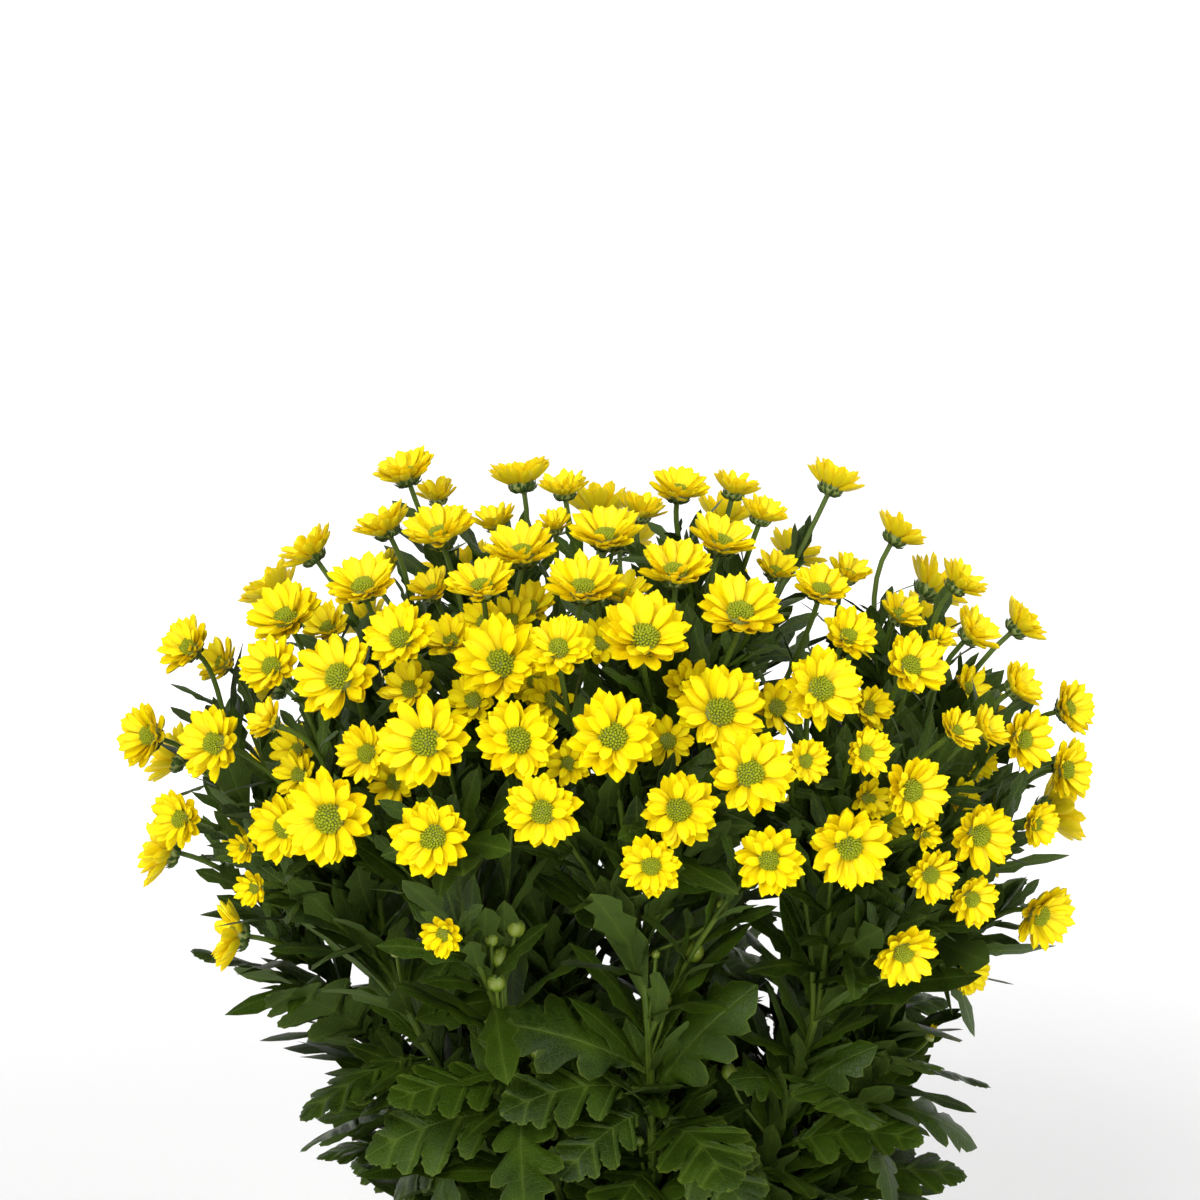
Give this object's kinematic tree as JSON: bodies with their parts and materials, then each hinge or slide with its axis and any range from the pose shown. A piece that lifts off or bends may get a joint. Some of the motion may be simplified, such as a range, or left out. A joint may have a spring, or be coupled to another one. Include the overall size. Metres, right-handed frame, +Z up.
{
  "type": "potted santini chrysanthemum",
  "caption": "Round clay pot of soil that holds a dome of leafy stems ending in sprays of small yellow daisy-like flowers with green discs",
  "frame": {"origin": "middle of the pot's flat underside, on the surface it stands on", "axes": "+Z up; -Y towards the side that the picture shows, +X to its right"},
  "size_m": [0.4105, 0.3509, 0.4841],
  "materials": {
    "clay_pot": "unglazed matt fired clay",
    "soil": "moist crumbly potting soil",
    "green_stems_and_leaves": "satin living leaf and stem",
    "yellow_flowers": "soft matt petals"
  },
  "bodies": {
    "root": {"pot": "clay_pot", "soil_root_ball": "soil", "spray_01_flowers": "yellow_flowers", "spray_01_leafy_stem": "green_stems_and_leaves", "spray_02_flowers": "yellow_flowers", "spray_02_leafy_stem": "green_stems_and_leaves", "spray_03_flowers": "yellow_flowers", "spray_03_leafy_stem": "green_stems_and_leaves", "spray_04_flowers": "yellow_flowers", "spray_04_leafy_stem": "green_stems_and_leaves", "spray_05_flowers": "yellow_flowers", "spray_05_leafy_stem": "green_stems_and_leaves", "spray_06_flowers": "yellow_flowers", "spray_06_leafy_stem": "green_stems_and_leaves", "spray_07_flowers": "yellow_flowers", "spray_07_leafy_stem": "green_stems_and_leaves", "spray_08_flowers": "yellow_flowers", "spray_08_leafy_stem": "green_stems_and_leaves", "spray_09_flowers": "yellow_flowers", "spray_09_leafy_stem": "green_stems_and_leaves", "spray_10_flowers": "yellow_flowers", "spray_10_leafy_stem": "green_stems_and_leaves", "spray_11_flowers": "yellow_flowers", "spray_11_leafy_stem": "green_stems_and_leaves", "spray_12_flowers": "yellow_flowers", "spray_12_leafy_stem": "green_stems_and_leaves", "spray_13_flowers": "yellow_flowers", "spray_13_leafy_stem": "green_stems_and_leaves", "spray_14_flowers": "yellow_flowers", "spray_14_leafy_stem": "green_stems_and_leaves", "spray_15_flowers": "yellow_flowers", "spray_15_leafy_stem": "green_stems_and_leaves", "spray_16_flowers": "yellow_flowers", "spray_16_leafy_stem": "green_stems_and_leaves"}
  },
  "joints": []
}
